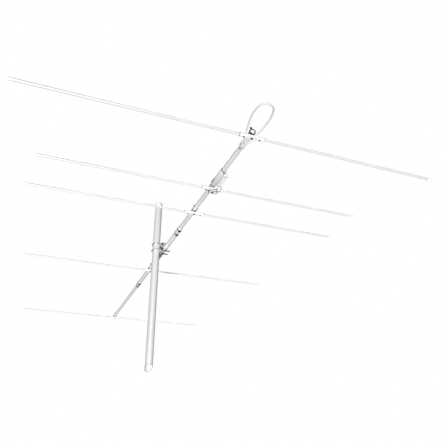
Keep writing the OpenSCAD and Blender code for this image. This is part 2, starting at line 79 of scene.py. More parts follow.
class Graph:
    """A node tree that is filled by short calls."""

    def __init__(self, tree: bpy.types.NodeTree) -> None:
        """Starts an empty graph.

        Args:
            tree: The tree to fill. Its nodes are removed.
        """
        tree.nodes.clear()
        self.tree = tree

    def add(self, kind: str, inputs: dict | None = None, **settings: object) -> bpy.types.Node:
        """Adds a node.

        Args:
            kind: The node's type, without its ShaderNode prefix.
            inputs: Socket name or index to a value, or to the socket that feeds it.
            settings: Attributes of the node.

        Returns:
            The new node.
        """
        name = kind if kind.startswith("Node") else "ShaderNode" + kind
        node = self.tree.nodes.new(name)
        for key, value in settings.items():
            setattr(node, key, value)
        for key, value in (inputs or {}).items():
            if isinstance(value, bpy.types.NodeSocket):
                self.tree.links.new(value, node.inputs[key])
            else:
                node.inputs[key].default_value = value
        return node

    def spread(self, value: bpy.types.NodeSocket, low: float, high: float,
               to_low: float = 0.0, to_high: float = 1.0) -> bpy.types.NodeSocket:
        """Maps a value from low..high to to_low..to_high, clamped.

        Args:
            value: The value to map.
            low: The value that gives to_low.
            high: The value that gives to_high.
            to_low: The lowest result.
            to_high: The highest result.

        Returns:
            The mapped value.
        """
        limits = {"Value": value, "From Min": low, "From Max": high,
                  "To Min": to_low, "To Max": to_high}
        return self.add("MapRange", limits, clamp=True).outputs[0]

    def mix(self, share: bpy.types.NodeSocket | float, a: object,
            b: object) -> bpy.types.NodeSocket:
        """Mixes two colours.

        Args:
            share: 0 gives a and 1 gives b.
            a: A colour, or the socket that holds it.
            b: A colour, or the socket that holds it.

        Returns:
            The mixed colour.
        """
        node = self.add("Mix", data_type="RGBA")
        for socket, value in ((node.inputs[0], share), (node.inputs[6], a), (node.inputs[7], b)):
            if isinstance(value, bpy.types.NodeSocket):
                self.tree.links.new(value, socket)
            else:
                socket.default_value = (*value, 1.0) if isinstance(value, tuple) else value
        return node.outputs[2]

    def math(self, operation: str, a: object, b: object = 0.0) -> bpy.types.NodeSocket:
        """Returns the result of a Math node on two values or sockets."""
        return self.add("Math", {0: a, 1: b}, operation=operation).outputs[0]


def group_tree(name: str, inputs: dict[str, str], outputs: dict[str, str],
               fill: Callable[[Graph, bpy.types.Node], dict[str, bpy.types.NodeSocket]],
               ) -> bpy.types.NodeTree:
    """Returns a shader node group, built the first time that it is asked for.

    Args:
        name: The group's name.
        inputs: Input name to "Float" or "Vector".
        outputs: Output name to "Float", "Color" or "Vector".
        fill: Builds the inside and returns output name to socket.

    Returns:
        The group's tree.
    """
    if name in bpy.data.node_groups:
        return bpy.data.node_groups[name]
    tree = bpy.data.node_groups.new(name, "ShaderNodeTree")
    for key, kind in inputs.items():
        tree.interface.new_socket(name=key, in_out="INPUT", socket_type="NodeSocket" + kind)
    for key, kind in outputs.items():
        tree.interface.new_socket(name=key, in_out="OUTPUT", socket_type="NodeSocket" + kind)
    graph = Graph(tree)
    start = graph.add("NodeGroupInput")
    graph.add("NodeGroupOutput", fill(graph, start))
    return tree


def die_lines() -> bpy.types.NodeTree:
    """Returns the group that draws the fine lines a die leaves along a drawn tube."""

    def fill(g: Graph, start: bpy.types.Node) -> dict[str, bpy.types.NodeSocket]:
        """Two layers of noise that are stretched along the tube."""
        across = g.add("VectorMath", {0: start.outputs["Place"], 1: start.outputs["Stretch"]},
                       operation="MULTIPLY").outputs[0]
        fine = g.add("TexNoise", {"Vector": across, "Scale": 1.0, "Detail": 4.0}).outputs[0]
        wide = g.add("TexNoise", {"Vector": across, "Scale": 0.21, "Detail": 2.0}).outputs[0]
        both = g.math("ADD", g.math("MULTIPLY", fine, 0.6), g.math("MULTIPLY", wide, 0.4))
        return {"Line": g.spread(both, 0.35, 0.65)}

    return group_tree("die_lines", {"Place": "Vector", "Stretch": "Vector"},
                      {"Line": "Float"}, fill)


def mould_grain() -> bpy.types.NodeTree:
    """Returns the group that draws the fine spark-eroded grain of moulded plastic."""

    def fill(g: Graph, start: bpy.types.Node) -> dict[str, bpy.types.NodeSocket]:
        """Cells of one size, broken up by noise."""
        place, size = start.outputs["Place"], start.outputs["Cells"]
        cells = g.add("TexVoronoi", {"Vector": place, "Scale": size}).outputs["Distance"]
        noise = g.add("TexNoise", {"Vector": place, "Scale": size, "Detail": 3.0}).outputs[0]
        return {"Grain": g.math("ADD", g.math("MULTIPLY", cells, 0.5),
                                g.math("MULTIPLY", noise, 0.5))}

    return group_tree("mould_grain", {"Place": "Vector", "Cells": "Float"},
                      {"Grain": "Float"}, fill)


def weather_film() -> bpy.types.NodeTree:
    """Returns the group that draws the patchy film that outdoor air leaves."""

    def fill(g: Graph, start: bpy.types.Node) -> dict[str, bpy.types.NodeSocket]:
        """Large soft patches with finer speckle inside them."""
        place, size = start.outputs["Place"], start.outputs["Patches"]
        large = g.add("TexNoise", {"Vector": place, "Scale": size, "Detail": 3.0}).outputs[0]
        small = g.add("TexNoise", {"Vector": place, "Scale": 900.0, "Detail": 2.0}).outputs[0]
        patch = g.spread(large, 0.42, 0.68)
        speck = g.spread(small, 0.3, 0.7, 0.55, 1.0)
        return {"Film": g.math("MULTIPLY", patch, speck)}

    return group_tree("weather_film", {"Place": "Vector", "Patches": "Float"},
                      {"Film": "Float"}, fill)


def edge_wear() -> bpy.types.NodeTree:
    """Returns the group that finds rubbed edges."""

    def fill(g: Graph, start: bpy.types.Node) -> dict[str, bpy.types.NodeSocket]:
        """Convex edges, broken up by noise so that the wear is uneven."""
        sharp = g.spread(g.add("NewGeometry").outputs["Pointiness"], 0.51, 0.58)
        noise = g.add("TexNoise", {"Vector": start.outputs["Place"], "Scale": 700.0,
                                   "Detail": 4.0}).outputs[0]
        broken = g.math("MULTIPLY", sharp, g.spread(noise, 0.35, 0.6))
        return {"Wear": g.math("MULTIPLY", broken, start.outputs["Amount"])}

    return group_tree("edge_wear", {"Place": "Vector", "Amount": "Float"},
                      {"Wear": "Float"}, fill)


# ---------------------------------------------------------------- finishes


@dataclass(frozen=True)
class Finish:
    """A surface finish, made into one material the first time that it is used."""

    name: str
    slot: str
    colour: Colour
    roughness: float

    def material(self) -> bpy.types.Material:
        """Returns the finish's material."""
        found = bpy.data.materials.get(self.name)
        if found:
            return found
        made = bpy.data.materials.new(self.name)
        made.use_nodes = True
        graph = Graph(made.node_tree)
        shader = graph.add("BsdfPrincipled", {"Base Color": (*self.colour, 1.0),
                                              "Roughness": self.roughness})
        graph.add("OutputMaterial", {"Surface": shader.outputs[0]})
        place = graph.add("TexCoord").outputs["Object"]
        self.dress(graph, shader, place)
        return made

    def dress(self, g: Graph, shader: bpy.types.Node, place: bpy.types.NodeSocket) -> None:
        """Adds the finish's own detail.

        Args:
            g: The material's graph.
            shader: The material's Principled BSDF.
            place: Coordinates that move with the piece.
        """
        raise NotImplementedError

    def use(self, g: Graph, tree: bpy.types.NodeTree, **inputs: object) -> bpy.types.NodeSocket:
        """Places a node group and returns its first output."""
        node = g.add("Group", node_tree=tree)
        for key, value in inputs.items():
            if isinstance(value, bpy.types.NodeSocket):
                g.tree.links.new(value, node.inputs[key])
            else:
                node.inputs[key].default_value = value
        return node.outputs[0]

    def connect(self, g: Graph, shader: bpy.types.Node, colour: object = None,
                roughness: object = None, height: object = None, depth: float = 0.0) -> None:
        """Feeds the shader.

        Args:
            g: The material's graph.
            shader: The material's Principled BSDF.
            colour: Feeds Base Color.
            roughness: Feeds Roughness.
            height: Feeds the height of a bump.
            depth: The bump's height in metres.
        """
        if colour is not None:
            g.tree.links.new(colour, shader.inputs["Base Color"])
        if roughness is not None:
            g.tree.links.new(roughness, shader.inputs["Roughness"])
        if height is not None:
            bump = g.add("Bump", {"Height": height, "Distance": depth, "Strength": 0.6})
            g.tree.links.new(bump.outputs[0], shader.inputs["Normal"])


@dataclass(frozen=True)
class DrawnTube(Finish):
    """Drawn aluminium tube: bright, with die lines along it and a thin dull film."""

    axis: Axis = Axis.X
    dull: Colour = (0.62, 0.63, 0.65)

    def dress(self, g: Graph, shader: bpy.types.Node, place: bpy.types.NodeSocket) -> None:
        """Draws die lines, film and a faint bump."""
        stretch = Vector((900.0, 900.0, 900.0)) - self.axis.value * 894.0
        lines = self.use(g, die_lines(), Place=place, Stretch=stretch)
        film = self.use(g, weather_film(), Place=place, Patches=22.0)
        shader.inputs["Metallic"].default_value = 0.3
        bright = g.mix(g.math("MULTIPLY", lines, 0.22), self.colour, self.dull)
        colour = g.mix(g.math("MULTIPLY", film, 0.35), bright, self.dull)
        brushed = g.spread(lines, 0.0, 1.0, self.roughness - 0.06, self.roughness + 0.06)
        rough = g.math("ADD", brushed, g.math("MULTIPLY", film, 0.12))
        self.connect(g, shader, colour, rough, lines, 0.00004)


@dataclass(frozen=True)
class Metal(Finish):
    """Plated or coated metal with rubbed edges and a patchy surface."""

    bare: Colour = (0.55, 0.55, 0.56)
    metallic: float = 0.9
    wear: float = 0.5
    cells: float = 1800.0
    specular: float = 0.5

    def dress(self, g: Graph, shader: bpy.types.Node, place: bpy.types.NodeSocket) -> None:
        """Draws the spangle or grain of the coat, its film and its worn edges."""
        grain = self.use(g, mould_grain(), Place=place, Cells=self.cells)
        film = self.use(g, weather_film(), Place=place, Patches=60.0)
        worn = self.use(g, edge_wear(), Place=place, Amount=self.wear)
        shader.inputs["Metallic"].default_value = self.metallic
        shader.inputs["Specular IOR Level"].default_value = self.specular
        darker = tuple(c * 0.72 for c in self.colour)
        coat = g.mix(g.math("MULTIPLY", film, 0.6), self.colour, darker)
        colour = g.mix(worn, coat, self.bare)
        rough = g.spread(grain, 0.2, 0.7, self.roughness - 0.08, self.roughness + 0.1)
        self.connect(g, shader, colour, rough, grain, 0.00006)


@dataclass(frozen=True)
class Plastic(Finish):
    """Moulded plastic or rubber with a fine grain, chalked a little by the sun."""

    chalk: Colour = (0.9, 0.9, 0.9)
    chalking: float = 0.2
    cells: float = 1400.0
    depth: float = 0.00008
    sheen: float = 0.0

    def dress(self, g: Graph, shader: bpy.types.Node, place: bpy.types.NodeSocket) -> None:
        """Draws the mould's grain and patches of chalking."""
        grain = self.use(g, mould_grain(), Place=place, Cells=self.cells)
        film = self.use(g, weather_film(), Place=place, Patches=45.0)
        shader.inputs["Coat Weight"].default_value = self.sheen
        shader.inputs["Coat Roughness"].default_value = 0.35
        colour = g.mix(g.math("MULTIPLY", film, self.chalking), self.colour, self.chalk)
        grained = g.spread(grain, 0.2, 0.7, self.roughness - 0.07, self.roughness + 0.07)
        rough = g.math("ADD", grained, g.math("MULTIPLY", film, 0.1))
        self.connect(g, shader, colour, rough, grain, self.depth)


TUBE_X = DrawnTube("drawn_tube_x", "tube_aluminium", (0.90, 0.905, 0.91), 0.34, Axis.X)
TUBE_Y = DrawnTube("drawn_tube_y", "tube_aluminium", (0.90, 0.905, 0.91), 0.34, Axis.Y)
TUBE_Z = DrawnTube("drawn_tube_z", "tube_aluminium", (0.90, 0.905, 0.91), 0.34, Axis.Z)
PRESSED = Metal("pressed_sheet", "saddle_aluminium", (0.66, 0.67, 0.69), 0.42, (0.85, 0.85, 0.86))
COATED = Metal("coated_clamp", "clamp_steel", (0.62, 0.63, 0.64), 0.45, (0.8, 0.8, 0.8),
               0.5, 0.5, 300.0)
ZINC = Metal("zinc_rod", "zinc_steel", (0.66, 0.67, 0.68), 0.38, (0.8, 0.8, 0.8), 0.9, 0.4, 500.0)
BLACK_STEEL = Metal("black_nuts", "dark_steel", (0.008, 0.008, 0.009), 0.6,
                    (0.1, 0.1, 0.105), 0.1, 0.3, specular=0.15)
BLACK_OXIDE = Metal("black_oxide", "black_fasteners", (0.009, 0.009, 0.01), 0.6,
                    (0.12, 0.12, 0.125), 0.1, 0.3, specular=0.15)
NICKEL = Metal("nickel_plate", "socket_plating", (0.74, 0.72, 0.68), 0.25, (0.85, 0.83, 0.8), 1.0)
WHITE = Plastic("white_moulding", "white_plastic", (0.86, 0.86, 0.84), 0.5, (0.95, 0.95, 0.94))
BOX = Plastic("box_moulding", "box_plastic", (0.80, 0.81, 0.81), 0.5, (0.92, 0.92, 0.91))
BLACK = Plastic("black_moulding", "black_plastic", (0.015, 0.015, 0.016), 0.55, (0.12, 0.12, 0.12))
CORE = Plastic("turned_core", "core_plastic", (0.80, 0.78, 0.71), 0.4, (0.88, 0.87, 0.82))
GREY = Plastic("grey_moulding", "grey_plastic", (0.60, 0.61, 0.62), 0.5, (0.72, 0.72, 0.72))
# Near black, given to the faces of the mast's slanted foot that point down.
DARK_CUT_FACE = Metal("dark_cut_face", "tube_aluminium", (0.05, 0.05, 0.052), 0.55, (0.3, 0.3, 0.31), 0.3)
# Near-black threads on the U-bolt legs: grease, and painted shade of the thread grooves.
GREASED_AND_SHADED = Metal("greased_and_shaded_thread", "zinc_steel", (0.008, 0.008, 0.009), 0.6,
                (0.15, 0.15, 0.155), 0.1, 0.2, specular=0.15)
SEAL = Plastic("seal_rubber", "seal_rubber", (0.015, 0.015, 0.015), 0.75, (0.1, 0.1, 0.1))
JACKET = Plastic("coax_jacket", "coax_jacket", (0.60, 0.61, 0.62), 0.4, (0.72, 0.72, 0.72),
                 0.3, 1100.0, 0.00005, 0.25)
WIRE = Plastic("lead_insulation", "lead_insulation", (0.05, 0.05, 0.055), 0.4, (0.2, 0.2, 0.2))


# ---------------------------------------------------------------- meshes


def middle(node: str) -> Vector:
    """Returns the middle of a CAD node's box."""
    low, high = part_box(node)
    return (low + high) / 2


def facing(axis: Axis, place: Vector, flip: bool = False) -> Matrix:
    """Returns a matrix that takes local Z to an axis.

    Args:
        axis: The direction for local Z.
        place: Where the local origin goes.
        flip: True points local Z the other way.
    """
    turned = axis.value.to_track_quat("Z", "Y").to_matrix().to_4x4()
    over = Matrix.Rotation(math.pi, 4, "X") if flip else Matrix()
    return Matrix.Translation(place) @ turned @ over


def circle(radius: float, height: float, sides: int) -> Ring:
    """Returns a level ring of points round local Z."""
    turns = (2 * math.pi * i / sides for i in range(sides))
    return [Vector((radius * math.cos(a), radius * math.sin(a), height)) for a in turns]


def rounded_outline(half_x: float, half_y: float, corner: float, height: float,
                    steps: int = 5) -> Ring:
    """Returns a rectangle with round corners.

    Args:
        half_x: Half its size along X.
        half_y: Half its size along Y.
        corner: The corners' radius.
        height: The ring's place along Z.
        steps: Points in each corner, less one.
    """
    ring = []
    for quarter, (sx, sy) in enumerate(((1, 1), (-1, 1), (-1, -1), (1, -1))):
        for i in range(steps + 1):
            a = math.pi / 2 * (quarter + i / steps)
            x = sx * (half_x - corner) + corner * math.cos(a)
            y = sy * (half_y - corner) + corner * math.sin(a)
            ring.append(Vector((x, y, height)))
    return ring


def spline_path(points: Sequence[Sequence[float]], steps: int) -> list[Vector]:
    """Returns a smooth path through points.

    Args:
        points: The points that it goes through.
        steps: New points for each stretch.
    """
    route = [Vector(p) for p in points]
    path = []
    for i in range(len(route) - 1):
        a, b = route[max(i - 1, 0)], route[i]
        c, d = route[i + 1], route[min(i + 2, len(route) - 1)]
        for k in range(steps):
            t = k / steps
            path.append(0.5 * (2 * b + (c - a) * t + (2 * a - 5 * b + 4 * c - d) * t * t
                               + (3 * b - a - 3 * c + d) * t ** 3))
    return [*path, route[-1]]


class Shell:
    """Closed shells that are gathered into one mesh."""

    def __init__(self, at: Matrix | None = None) -> None:
        """Starts an empty mesh.

        Args:
            at: Where local coordinates go in the model's frame.
        """
        self.bm = bmesh.new()
        self.at = at or Matrix()

    def skin(self, rings: Sequence[Ring], closed: bool = False) -> None:
        """Skins rings with equal numbers of points.

        Args:
            rings: The rings, in order.
            closed: True joins the last ring to the first; otherwise both ends are capped.
        """
        loops = [[self.bm.verts.new(self.at @ p) for p in ring] for ring in rings]
        after = loops[1:] + loops[:1] if closed else loops[1:]
        for low, high in zip(loops, after):
            count = len(low)
            for j in range(count):
                k = (j + 1) % count
                self.bm.faces.new((low[j], low[k], high[k], high[j]))
        if not closed:
            self.bm.faces.new(loops[0][::-1])
            self.bm.faces.new(loops[-1])

    def turned(self, profile: Iterable[tuple[float, float]], sides: int = 32,
               hollow: bool = False) -> None:
        """Turns a profile round local Z.

        Args:
            profile: Points of radius and height.
            sides: Points round each ring.
            hollow: True if the profile is a closed loop that doesn't meet the axis.
        """
        self.skin([circle(r, h, sides) for r, h in profile], hollow)

    def pipe(self, outer: float, inner: float, low: float, high: float, edge: float,
             sides: int = 32) -> None:
        """Turns a tube with eased rims.

        Args:
            outer: Its outer radius.
            inner: Its bore's radius.
            low: Where it starts along local Z.
            high: Where it ends.
            edge: How much its rims are eased.
            sides: Points round it.
        """
        self.turned([(outer, low + edge), (outer, high - edge), (outer - edge, high),
                     (inner + edge, high), (inner, high - edge), (inner, low + edge),
                     (inner + edge, low), (outer - edge, low)], sides, True)

    def hexagon(self, flats: float, low: float, high: float, bore: float = 0.0) -> None:
        """Makes a hexagon head or nut with chamfered corners.

        Args:
            flats: The distance across its flats.
            low: Where it starts along local Z.
            high: Where it ends.
            bore: The bore's radius, or 0 for a solid head.
        """
        sides, apothem = 36, flats / 2
        neck = apothem * 0.94

        def ring(height: float, toward: float) -> Ring:
            """One ring; toward is 1 at the low chamfer, -1 at the high one and 0 on it."""
            points = []
            for i in range(sides):
                a = 2 * math.pi * i / sides
                wrap = (a + math.pi / 6) % (math.pi / 3) - math.pi / 6
                r = apothem / math.cos(wrap) if toward else neck
                z = height + toward * (r - neck) * math.tan(math.radians(28))
                points.append(Vector((r * math.cos(a), r * math.sin(a), z)))
            return points

        rings = [ring(low, 0), ring(low, 1), ring(high, -1), ring(high, 0)]
        if bore:
            rings += [circle(bore, high, sides), circle(bore, low, sides)]
        self.skin(rings, bool(bore))

    def sweep(self, path: Sequence[Vector], radius: Callable[[float, float], float],
              sides: int = 16) -> None:
        """Sweeps a round section along a path.

        Args:
            path: The path's points.
            radius: Gives the radius from the distance along and the angle round.
            sides: Points round the section.
        """
        ahead = [(path[min(i + 1, len(path) - 1)] - path[max(i - 1, 0)]).normalized()
                 for i in range(len(path))]
        side = ahead[0].orthogonal().normalized()
        rings, along = [], 0.0
        for i, point in enumerate(path):
            if i:
                side = ahead[i - 1].rotation_difference(ahead[i]) @ side
                along += (point - path[i - 1]).length
            up = ahead[i].cross(side)
            ring = []
            for j in range(sides):
                a = 2 * math.pi * j / sides
                ring.append(point + radius(along, a) * (math.cos(a) * side + math.sin(a) * up))
            rings.append(ring)
        self.skin(rings)

    def threaded(self, radius: float, low: float, high: float, pitch: float) -> None:
        """Makes a threaded rod along local Z with a chamfered tip at its high end.

        Args:
            radius: The thread's outer radius.
            low: Where it starts.
            high: Where it ends.
            pitch: The thread's pitch.
        """
        count = max(2, round((high - low) / (pitch / 4)))
        path = [Vector((0, 0, low + (high - low) * i / count)) for i in range(count + 1)]
        self.sweep(path, thread_radius(radius, pitch, 0.0, high - low), 14)

    def slab(self, half_x: float, half_y: float, low: float, high: float,
             corner: float, edge: float) -> None:
        """Makes a block with round corners and eased edges.

        Args:
            half_x: Half its size along local X.
            half_y: Half its size along local Y.
            low: Where it starts along local Z.
            high: Where it ends.
            corner: The radius of its upright corners.
            edge: The radius of its other edges.
        """
        def inset(turn: float) -> float:
            """How far the outline is drawn in at that turn round the edge."""
            return edge * (1 - math.cos(turn))

        turns = [math.pi / 2 * (1 - i / 3) for i in range(4)]
        rings = [rounded_outline(half_x - inset(t), half_y - inset(t), corner,
                                 low + edge * (1 - math.sin(t))) for t in turns]
        rings += [rounded_outline(half_x - inset(t), half_y - inset(t), corner,
                                  high - edge * (1 - math.sin(t))) for t in turns[::-1]]
        self.skin(rings)

    def piece(self, name: str, finish: Finish, body: str, *nodes: str) -> bpy.types.Object:
        """Turns the mesh into a piece of the antenna.

        Args:
            name: The piece's name.
            finish: Its finish.
            body: The body that it rides on.
            nodes: The CAD nodes that it stands for.

        Returns:
            The piece.
        """
        bmesh.ops.recalc_face_normals(self.bm, faces=self.bm.faces)
        mesh = bpy.data.meshes.new(name)
        self.bm.to_mesh(mesh)
        self.bm.free()
        mesh.shade_smooth()
        mesh.set_sharp_from_angle(angle=math.radians(32))
        mesh.materials.append(finish.material())
        made = bpy.data.objects.new(name, mesh)
        bpy.context.scene.collection.objects.link(made)
        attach(made, body)
        if nodes:
            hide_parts(*nodes)
        log.info("%s: %d faces on %s", name, len(mesh.polygons), body)
        return made


def shell_along_boom(node: str) -> tuple[Shell, float, float]:
    """Returns a shell with local Z along the boom from a node's rear, its radius and its length."""
    low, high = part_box(node)
    centre = middle(node)
    shell = Shell(facing(Axis.Y, Vector((centre.x, low.y, centre.z))))
    return shell, (high.x - low.x) / 2, high.y - low.y


def thread_radius(radius: float, pitch: float, start: float, end: float,
                  ) -> Callable[[float, float], float]:
    """Returns the radius of a rod that is threaded from start to end along its length.

    Args:
        radius: The rod's radius.
        pitch: The thread's pitch.
        start: Where the thread starts.
        end: Where the rod ends, with a chamfer one pitch long.
    """
    depth = 0.55 * pitch

    def at(along: float, turn: float) -> float:
        """The radius at that distance along and angle round."""
        if along < start:
            return radius
        phase = (along / pitch - turn / (2 * math.pi)) % 1.0
        cut = depth * (1 - abs(2 * phase - 1))
        tip = max(0.0, along - (end - pitch)) / pitch * depth
        return radius - max(cut, tip)

    return at


def dress_node(node: str, finish: Finish, bevel: float = 0.0) -> None:
    """Dresses a CAD node that keeps its own shape.

    Args:
        node: The node's name.
        finish: Its finish.
        bevel: The width of its eased edges, or 0 for none.
    """
    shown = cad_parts[node]
    shown.data.materials.clear()
    shown.data.materials.append(finish.material())
    if bevel:
        weld = shown.modifiers.new("weld", "WELD")
        weld.merge_threshold = 0.00001
        ease = shown.modifiers.new("ease", "BEVEL")
        ease.width, ease.segments = bevel, 2
        ease.limit_method, ease.angle_limit = "ANGLE", math.radians(38)
        ease.harden_normals = True
    log.info("%s: kept, in %s", node, finish.name)


# ---------------------------------------------------------------- sub-assemblies


@dataclass
class Mast:
    """The mast stub and its cap."""

    radius: float = 0.025
    wall: float = 0.0025
    slope: float = math.radians(40)
    turn: float = math.radians(10)
    edge: float = 0.0003

    def build(self) -> None:
        """Builds the tube with its slanted foot, and the cap."""
        self.tube()
        self.cap()

    @property
    def top(self) -> float:
        """Returns the height of the tube's level top end."""
        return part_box("mast_tube")[1].z

    def foot_height(self, point: Vector) -> float:
        """Returns the height of the slanted cut over a point."""
        uphill = Vector((math.sin(self.turn), -math.cos(self.turn), 0.0))
        return point.dot(uphill) * math.tan(self.slope)

    def tube(self) -> None:
        """Builds the tube as one hollow shell."""
        shell = Shell()
        bore = self.radius - self.wall
        shape = [(self.radius, self.edge, 0), (self.radius - self.edge, 0.0, 0),
                 (bore + self.edge, 0.0, 0), (bore, self.edge, 0),
                 (bore, -self.edge, 1), (bore + self.edge, 0.0, 1),
                 (self.radius - self.edge, 0.0, 1), (self.radius, -self.edge, 1)]
        rings = []
        for radius, lift, at_top in shape:
            ring = circle(radius, 0.0, 72)
            for point in ring:
                point.z = (self.top if at_top else self.foot_height(point)) + lift
            rings.append(ring)
        shell.skin(rings, True)
        made = shell.piece("mast_tube_drawn", TUBE_Z, Body.MAST.value, "mast_tube")
        # Faces that point down, the slanted cut of the foot, are coloured near black.
        made.data.materials.append(DARK_CUT_FACE.material())
        for face in made.data.polygons:
            face.material_index = int(face.normal.z < -0.5)

    def cap(self) -> None:
        """Builds the moulded cap with a rolled lip and a low dome."""
        low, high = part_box("mast_cap")
        radius, lip = (high.x - low.x) / 2, 0.003
        shell = Shell(Matrix.Translation((0, 0, low.z)))
        height, dome = high.z - low.z, 0.012
        profile = [(self.radius + 0.0001, 0.0), (radius - 0.0004, 0.0), (radius, 0.0005),
                   (radius, lip - 0.0005), (radius - 0.0006, lip)]
        profile += [((radius - 0.0006) * math.cos(a), height - dome + dome * math.sin(a))
                    for a in (math.radians(9 * i) for i in range(10))]
        inside = self.top - low.z
        profile += [(0.0006, height), (0.0006, inside), (self.radius + 0.0001, inside)]
        shell.turned(profile, 64, True)
        shell.piece("mast_cap_moulded", WHITE, Body.MAST.value, "mast_cap")


@dataclass
class Clamp:
    """The plate, saddles and U-bolts that hold the boom across the mast."""

    rod: float = 0.004
    pitch: float = 0.00125
    thread: float = 0.045
    flats: float = 0.013
    nut: float = 0.0065
    washer: float = 0.0016
    washer_radius: float = 0.008

    def build(self) -> None:
        """Builds every piece of the clamp."""
        for node in ("clamp_plate", "mast_saddles", "boom_saddles"):
            dress_node(node, COATED, 0.0008)
        self.ubolts("mast_ubolts", 1.0)
        self.ubolts("boom_ubolts", -1.0)
        self.nuts("mast_ubolt_nuts", 1.0)
        self.nuts("boom_ubolt_nuts", -1.0)

    def rises(self, node: str) -> tuple[list[Vector], float, float]:
        """Returns where a pair of U-bolts bend, their bend's radius and where their legs end."""
        low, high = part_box(node)
        span = high - low
        level = node == "mast_ubolts"
        across, rise = (span.y, span.z) if level else (span.z, span.y)
        bend = across / 2 - self.rod
        offset = rise / 2 - self.rod
        x = low.x + bend + self.rod if level else high.x - bend - self.rod
        end = high.x if level else low.x
        centre = (low + high) / 2
        way = Axis.Z.value if level else Axis.Y.value
        return [Vector((x, centre.y, centre.z)) + way * s * offset for s in (-1, 1)], bend, end

    def ubolts(self, node: str, toward: float) -> None:
        """Builds a pair of U-bolts.

        Args:
            node: The pair's CAD node.
            toward: 1 if the legs point along +X, and -1 if they point along -X.
        """
        rod, threads = Shell(), Shell()
        places, bend, end = self.rises(node)
        spread = Axis.Y.value if node == "mast_ubolts" else Axis.Z.value
        for place in places:
            leg = abs(end - place.x)
            plain = max(0.0, leg - self.thread)
            start = place + Vector((toward * plain, 0, 0))
            arc = [place + spread * bend * math.cos(a) - Vector((toward * bend * math.sin(a), 0, 0))
                   for a in (math.pi * i / 32 for i in range(33))]
            rod.sweep([start + spread * bend, *arc, start - spread * bend],
                      lambda along, turn: self.rod, 16)
            for side in (1, -1):
                threads.at = facing(Axis.X, start + side * spread * bend, toward < 0)
                threads.threaded(self.rod, -0.0001, leg - plain, self.pitch)
        rod.piece(node + "_bent", ZINC, Body.CLAMP.value, node)
        # The threaded legs are near black: grease, and painted shade in the thread grooves.
        threads.piece(node + "_threads", GREASED_AND_SHADED, Body.CLAMP.value)

    def nuts(self, node: str, toward: float) -> None:
        """Builds four nuts, each on a washer.

        Args:
            node: The nuts' CAD node.
            toward: 1 if they tighten against a plate on their -X side, -1 for the other side.
        """
        low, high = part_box(node)
        seat = low.x if toward > 0 else high.x
        shell = Shell()
        for y in (low.y + self.washer_radius, high.y - self.washer_radius):
            for z in (low.z + self.washer_radius, high.z - self.washer_radius):
                shell.at = facing(Axis.X, Vector((seat, y, z)), toward < 0)
                shell.pipe(self.washer_radius - 0.0001, self.rod + 0.0003, 0.0, self.washer,
                           0.0003, 28)
                shell.hexagon(self.flats, self.washer + 0.0001, self.washer + self.nut,
                              self.rod + 0.0001)
        shell.piece(node + "_set", BLACK_STEEL, Body.CLAMP.value, node)


